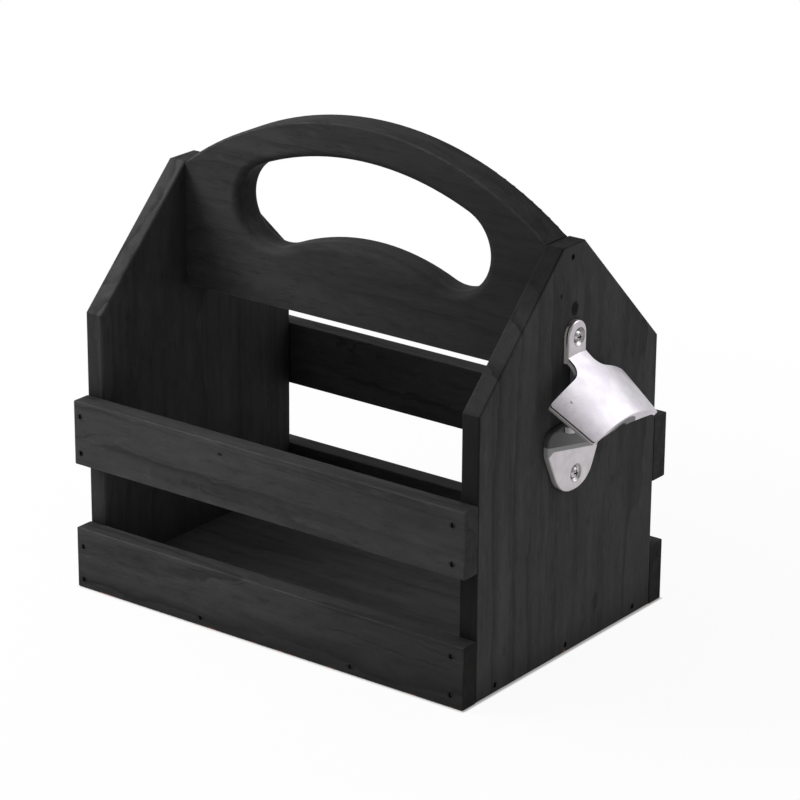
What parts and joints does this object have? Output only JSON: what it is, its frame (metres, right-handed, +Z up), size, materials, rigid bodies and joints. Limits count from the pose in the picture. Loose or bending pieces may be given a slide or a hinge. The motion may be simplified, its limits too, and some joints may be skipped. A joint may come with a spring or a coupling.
{
  "type": "bottle caddy",
  "caption": "Open wooden bottle carrier with gabled ends, slatted sides, an arched centre handle with a hand slot, and a steel cap opener on one end.",
  "frame": {"origin": "on the surface it stands on, under the middle of the wooden body", "axes": "+X along the carrier towards the end with the cap opener, +Y towards the back long side, +Z up"},
  "size_m": [0.2598, 0.16, 0.232],
  "materials": {
    "stained_pine": "matt charcoal stain with open grain",
    "opener_steel": "satin, finely blasted",
    "screw_steel": "bright plated",
    "brad_steel": "dark, stained over"
  },
  "bodies": {
    "root": {"end_panel_left": "stained_pine", "end_panel_right": "stained_pine", "handle_board": "stained_pine", "floor_board": "stained_pine", "slat_front_lower": "stained_pine", "slat_front_upper": "stained_pine", "slat_back_lower": "stained_pine", "slat_back_upper": "stained_pine", "bottle_opener": "opener_steel", "opener_screw_lower": "screw_steel", "opener_screw_upper": "screw_steel", "brads_slat_front_lower": "brad_steel", "brads_slat_front_upper": "brad_steel", "brads_slat_back_lower": "brad_steel", "brads_slat_back_upper": "brad_steel", "brads_floor_front": "brad_steel", "brads_floor_back": "brad_steel", "brads_floor_left": "brad_steel", "brads_floor_right": "brad_steel", "brads_handle_left": "brad_steel", "brads_handle_right": "brad_steel"}
  },
  "joints": []
}
